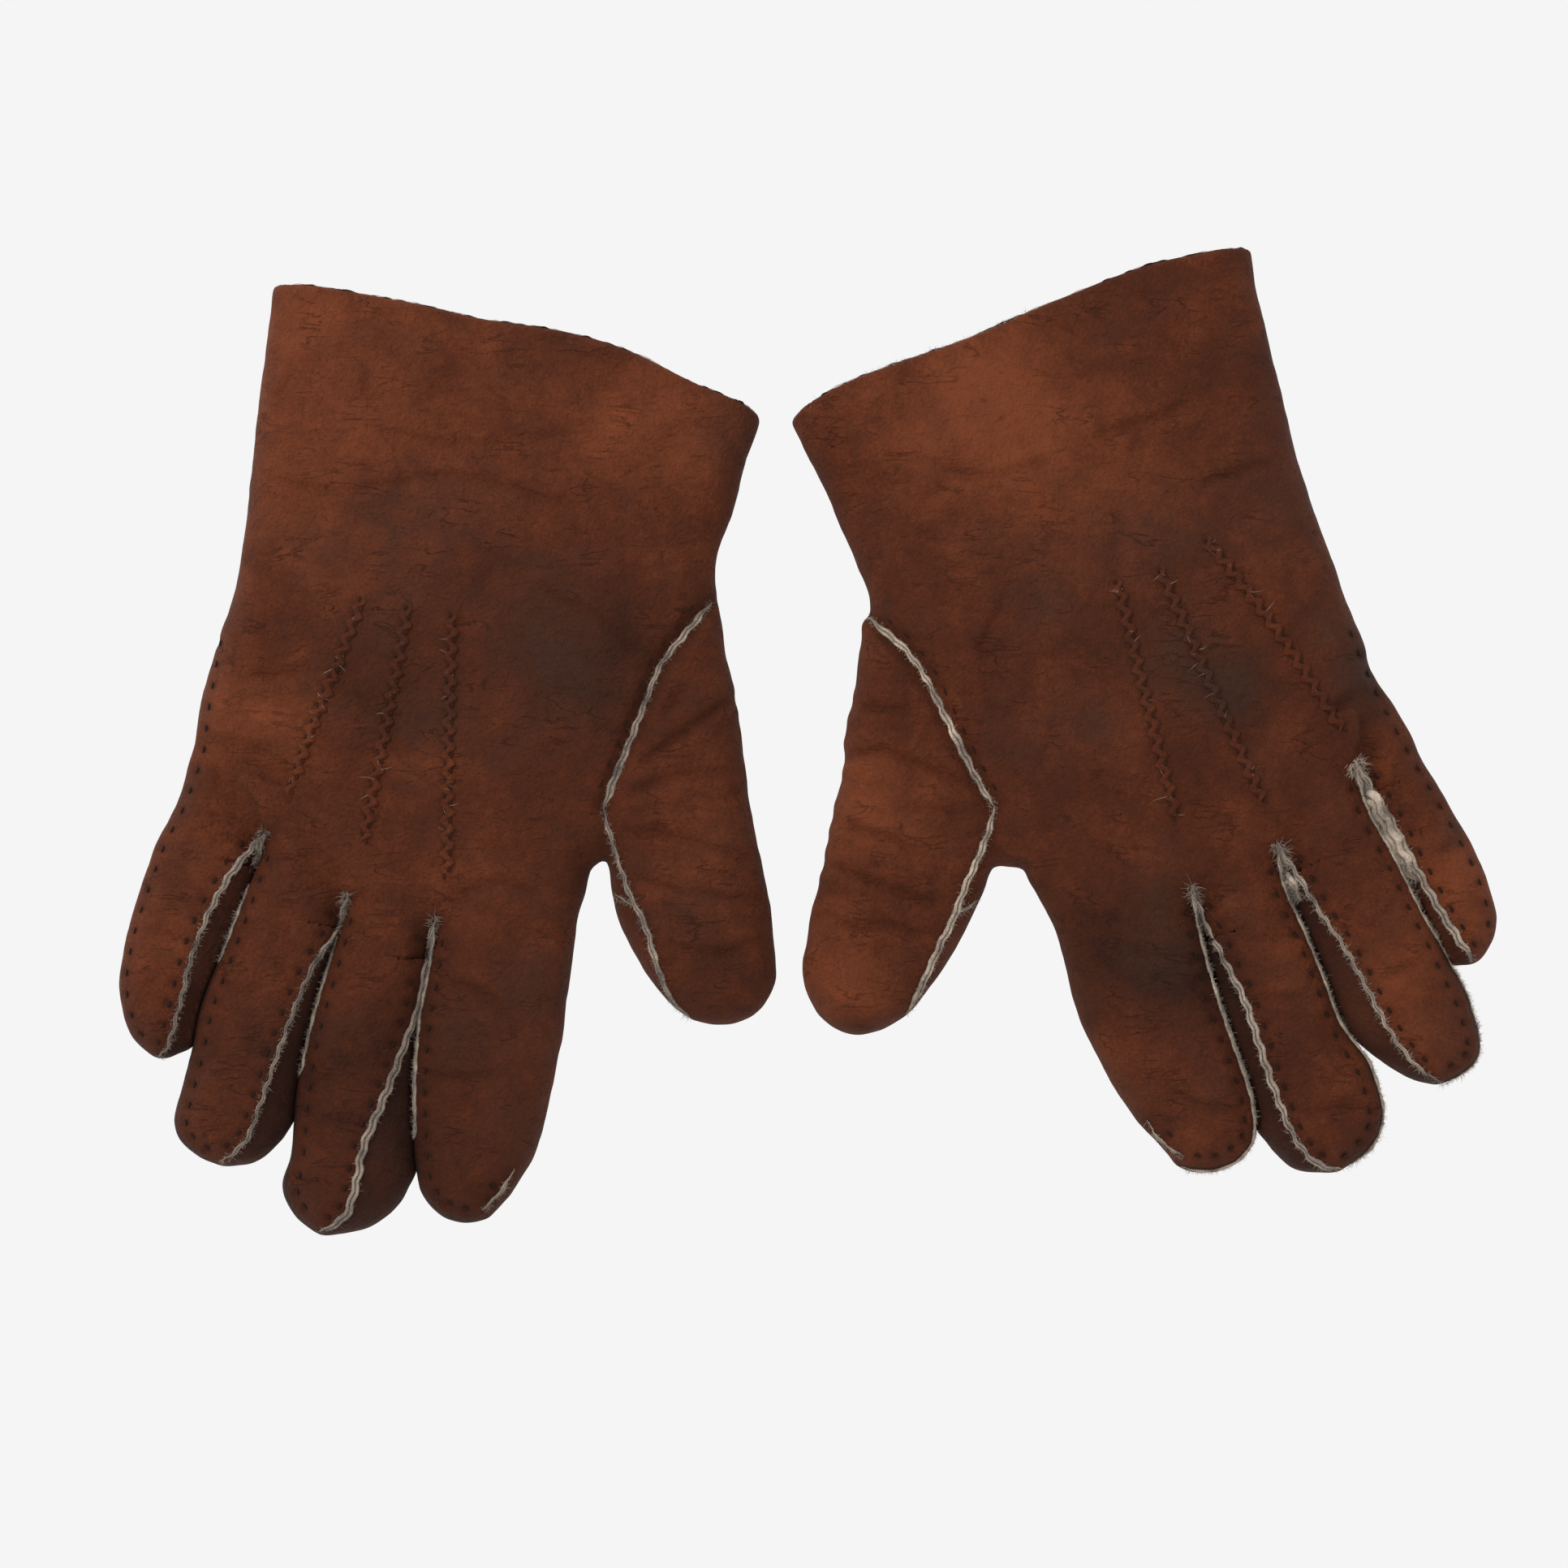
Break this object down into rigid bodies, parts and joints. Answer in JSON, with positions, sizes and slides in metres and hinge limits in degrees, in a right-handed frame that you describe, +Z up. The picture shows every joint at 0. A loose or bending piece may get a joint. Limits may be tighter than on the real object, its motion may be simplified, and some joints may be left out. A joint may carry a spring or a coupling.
{
  "type": "pair of gloves",
  "caption": "Pair of shearling-lined leather dress gloves, lying palm down, with fingers and thumbs that bend and cuffs that a hand slides into.",
  "frame": {"origin": "centre of the pair's bounding box, on the surface the gloves lie on", "axes": "+X across the pair from the right-hand glove to the left-hand glove, +Y from the fingertips to the cuffs, +Z up from the palms to the backs"},
  "size_m": [0.3658, 0.2609, 0.023],
  "materials": {
    "leather": "matte sueded nappa",
    "fourchette_leather": "matte sueded nappa",
    "fleece": "woolly pile",
    "thread": "waxed thread"
  },
  "bodies": {
    "right_hand": {"right_trank_back": "leather", "right_trank_palm": "leather", "right_back_fleece": "fleece", "right_palm_fleece": "fleece", "right_fourchette_roots": "fourchette_leather", "right_thumb_gusset": "leather", "right_points": "leather", "right_stitches": "thread"},
    "right_index": {"right_index_back": "leather", "right_index_palm": "leather", "right_index_fourchettes": "fourchette_leather", "right_index_fleece": "fleece"},
    "right_middle": {"right_middle_back": "leather", "right_middle_palm": "leather", "right_middle_fourchettes": "fourchette_leather", "right_middle_fleece": "fleece"},
    "right_ring": {"right_ring_back": "leather", "right_ring_palm": "leather", "right_ring_fourchettes": "fourchette_leather", "right_ring_fleece": "fleece"},
    "right_little": {"right_little_back": "leather", "right_little_palm": "leather", "right_little_fourchettes": "fourchette_leather", "right_little_fleece": "fleece"},
    "right_thumb": {"right_thumb_back": "leather", "right_thumb_palm": "leather", "right_thumb_fleece": "fleece"},
    "left_hand": {"left_trank_back": "leather", "left_trank_palm": "leather", "left_back_fleece": "fleece", "left_palm_fleece": "fleece", "left_fourchette_roots": "fourchette_leather", "left_thumb_gusset": "leather", "left_points": "leather", "left_stitches": "thread"},
    "left_index": {"left_index_back": "leather", "left_index_palm": "leather", "left_index_fourchettes": "fourchette_leather", "left_index_fleece": "fleece"},
    "left_middle": {"left_middle_back": "leather", "left_middle_palm": "leather", "left_middle_fourchettes": "fourchette_leather", "left_middle_fleece": "fleece"},
    "left_ring": {"left_ring_back": "leather", "left_ring_palm": "leather", "left_ring_fourchettes": "fourchette_leather", "left_ring_fleece": "fleece"},
    "left_little": {"left_little_back": "leather", "left_little_palm": "leather", "left_little_fourchettes": "fourchette_leather", "left_little_fleece": "fleece"},
    "left_thumb": {"left_thumb_back": "leather", "left_thumb_palm": "leather", "left_thumb_fleece": "fleece"}
  },
  "joints": [
    {"name": "left_lift", "type": "slide", "parent": "right_hand", "child": "left_hand", "axis": [0, 0, 1], "range_m": [0, 0.25]},
    {"name": "right_index_bend", "type": "hinge", "parent": "right_hand", "child": "right_index", "pos_m": [-0.0832, -0.072, 0.011], "axis": [0.9904, -0.1381, 0], "range_deg": [-10, 60], "stiffness_Nm_per_rad": 0.05},
    {"name": "right_middle_bend", "type": "hinge", "parent": "right_hand", "child": "right_middle", "pos_m": [-0.1168, -0.069, 0.011], "axis": [0.9927, -0.1205, 0], "range_deg": [-10, 60], "stiffness_Nm_per_rad": 0.05},
    {"name": "right_ring_bend", "type": "hinge", "parent": "right_hand", "child": "right_ring", "pos_m": [-0.1422, -0.058, 0.011], "axis": [0.9651, -0.2619, 0], "range_deg": [-10, 60], "stiffness_Nm_per_rad": 0.05},
    {"name": "right_little_bend", "type": "hinge", "parent": "right_hand", "child": "right_little", "pos_m": [-0.1643, -0.042, 0.009], "axis": [0.9661, -0.2581, 0], "range_deg": [-10, 60], "stiffness_Nm_per_rad": 0.05},
    {"name": "right_thumb_bend", "type": "hinge", "parent": "right_hand", "child": "right_thumb", "pos_m": [-0.03975, 0.009, 0.011], "axis": [0.4668, 0.8844, 0], "range_deg": [-10, 45], "stiffness_Nm_per_rad": 0.05},
    {"name": "left_index_bend", "type": "hinge", "parent": "left_hand", "child": "left_index", "pos_m": [0.0883, -0.062, 0.011], "axis": [0.9228, 0.3852, 0], "range_deg": [-10, 60], "stiffness_Nm_per_rad": 0.05},
    {"name": "left_middle_bend", "type": "hinge", "parent": "left_hand", "child": "left_middle", "pos_m": [0.1223, -0.06, 0.011], "axis": [0.9381, 0.3464, 0], "range_deg": [-10, 60], "stiffness_Nm_per_rad": 0.05},
    {"name": "left_ring_bend", "type": "hinge", "parent": "left_hand", "child": "left_ring", "pos_m": [0.1441, -0.041, 0.011], "axis": [0.8837, 0.4681, 0], "range_deg": [-10, 60], "stiffness_Nm_per_rad": 0.05},
    {"name": "left_little_bend", "type": "hinge", "parent": "left_hand", "child": "left_little", "pos_m": [0.1622, -0.022, 0.009], "axis": [0.9031, 0.4294, 0], "range_deg": [-10, 60], "stiffness_Nm_per_rad": 0.05},
    {"name": "left_thumb_bend", "type": "hinge", "parent": "left_hand", "child": "left_thumb", "pos_m": [0.0325, 0.008, 0.011], "axis": [0.5665, -0.824, 0], "range_deg": [-10, 45], "stiffness_Nm_per_rad": 0.05}
  ]
}
